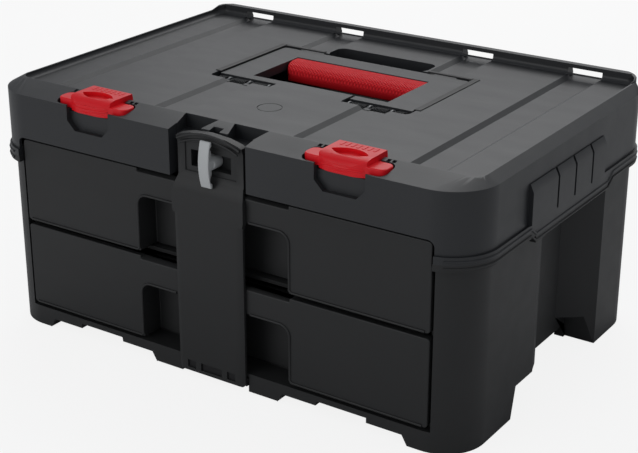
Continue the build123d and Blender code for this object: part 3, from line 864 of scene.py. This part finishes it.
@dataclass
class PocketLips:
    """The rolled lip round each finger pocket and along the drawer's edges."""

    face_y: float = -161.5 * MM
    inner_x: float = 38.5 * MM
    pocket_x: float = 77.3 * MM
    outer_x: float = 204.6 * MM
    high: float = 52.3 * MM
    round_radius: float = 9.8 * MM
    thickness: float = 1.15 * MM
    levels: tuple[tuple[str, float], ...] = (("lower", 21.3), ("upper", 102.5))

    def make(self, palette: Palette) -> None:
        """Make the lips of both drawers on both sides of the bar."""
        for level, foot in self.levels:
            for side, name in ((-1, "left"), (1, "right")):
                path = [(side * x, self.face_y, z) for x, z in self._outline(foot * MM)]
                piece = Workbench.cord(f"pocket_lip_{level}_{name}", path, self.thickness)
                Trim(piece, f"drawer_{level}", Slot.BLACK).place(palette)

    def _outline(self, foot: float) -> list[tuple[float, float]]:
        """The lip's course from the bar round the pocket and out along the foot."""
        top = foot + self.high
        radius = self.round_radius
        points = [(self.inner_x, top)]
        for step in range(7):
            turn = math.radians(15.0 * step)
            x = self.pocket_x - radius + radius * math.sin(turn)
            points.append((x, top - radius + radius * math.cos(turn)))
        low = foot + 1.4 * MM
        points += [(self.pocket_x, low + 2.0 * MM), (self.pocket_x + 2.0 * MM, low)]
        return points + [(self.outer_x - 3.0 * MM, low)]


@dataclass
class SeamBeads:
    """Two rolled beads that follow the seam and dip under the side grips."""

    half: float = 242.2 * MM
    front: float = -166.1 * MM
    rear: float = 168.1 * MM
    corner: float = 41.6 * MM
    start_x: float = 211.0 * MM
    dip_y: tuple[float, float] = (-62.0 * MM, 75.0 * MM)
    dip: float = 6.4 * MM
    thickness: float = 1.1 * MM
    heights: tuple[tuple[str, float, Slot], ...] = (
        ("cover", 165.2, Slot.GREY),
        ("housing", 159.8, Slot.BLACK),
    )

    def make(self, palette: Palette) -> None:
        """Make both beads on both sides."""
        for part, height, slot in self.heights:
            for side, name in ((-1, "left"), (1, "right")):
                path = [(side * x, y, z) for x, y, z in self._course(height * MM)]
                piece = Workbench.cord(f"seam_bead_{part}_{name}", path, self.thickness)
                Trim(piece, "chassis", slot).place(palette)

    def _course(self, z: float) -> list[Colour]:
        """The bead's course from the drawers round to the middle of the back."""
        run = 9.0 * MM
        points = []
        inner = self.half - self.corner
        for step in range(1, 9):
            turn = math.radians(11.25 * step)
            x = inner + self.corner * math.sin(turn)
            y = self.front + self.corner - self.corner * math.cos(turn)
            if x > self.start_x:
                points.append((x, y, z))
        low = z - self.dip
        points += [(self.half, self.dip_y[0] - run, z), (self.half, self.dip_y[0], low)]
        points += [(self.half, self.dip_y[1], low), (self.half, self.dip_y[1] + run, z)]
        for step in range(9):
            turn = math.radians(11.25 * step)
            x = inner + self.corner * math.cos(turn)
            points.append((x, self.rear - self.corner + self.corner * math.sin(turn), z))
        return points + [(0.5 * MM, self.rear, z)]


@dataclass
class FootWindows:
    """Dark plates on the floors of the three small windows in the bar's foot, painted shade of the
    open windows.
    """

    places: tuple[tuple[float, float], ...] = ((-24.8, -16.7), (-10.8, 10.8), (16.7, 24.8))
    depth: tuple[float, float] = (-164.9 * MM, -164.5 * MM)
    height: tuple[float, float] = (9.7 * MM, 16.3 * MM)

    def make(self, palette: Palette) -> None:
        """Make the dark floor plates."""
        for number, (x0, x1) in enumerate(self.places, start=1):
            low = (x0 * MM, self.depth[0], self.height[0])
            high = (x1 * MM, self.depth[1], self.height[1])
            piece = Workbench.block(f"foot_window_shade_{number}", low, high)
            # Painted shade: the plates darken the open windows.
            Trim(piece, "bar", Slot.BLACK).place(palette, Look.RIM)


class ToolBox:
    """The whole box: which nodes are softened and which only dressed."""

    MOULDED = (
        SoftenedNode("top_cover", "chassis", Slot.GREY, 0.7 * MM),
        SoftenedNode("body_housing", "chassis", Slot.BLACK, 0.8 * MM),
        SoftenedNode("drawer_front_lower", "drawer_lower", Slot.BLACK, 0.9 * MM),
        SoftenedNode("drawer_front_upper", "drawer_upper", Slot.BLACK, 0.9 * MM),
        SoftenedNode("locking_bar", "bar", Slot.BLACK, 0.5 * MM),
        SoftenedNode("lock_knob", "knob", Slot.LIGHT, voxel=0.45 * MM),
        SoftenedNode("handle_frame", "handle", Slot.GREY, 0.6 * MM),
        SoftenedNode("handle_grip", "handle", Slot.RUBBER, voxel=0.9 * MM),
        SoftenedNode("latch_left", "latch_l", Slot.RED, 0.6 * MM, 3),
        SoftenedNode("latch_right", "latch_r", Slot.RED, 0.6 * MM, 3),
    )

    def __init__(self, frame: dict, palette: Palette) -> None:
        """Keep the frame and the finishes."""
        self.frame = frame
        self.palette = palette

    def dress_nodes(self) -> None:
        """Give each CAD node the finish of its record slot."""
        for entry in self.frame["record"]["subparts"]:
            node = self.frame["nodes"][entry["node"]]
            self.palette.dress(node, Slot(entry["material_slot"]))

    def build(self) -> None:
        """Make every piece in order."""
        self.dress_nodes()
        for moulding in self.MOULDED:
            moulding.make(self.frame, self.palette)
        small = (HingeBarrels(), LatchRidges(), HandleGapShade(), BarLip(), PocketLips(), FootWindows())
        for trim in (*small, SeamBeads()):
            trim.make(self.palette)


def main() -> None:
    """Load the frame, dress it and light it."""
    logging.basicConfig(level=logging.INFO, format="%(name)s %(message)s")
    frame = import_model()
    ToolBox(frame, Palette()).build()
    Studio().set_up()


if __name__ == "__main__":
    main()
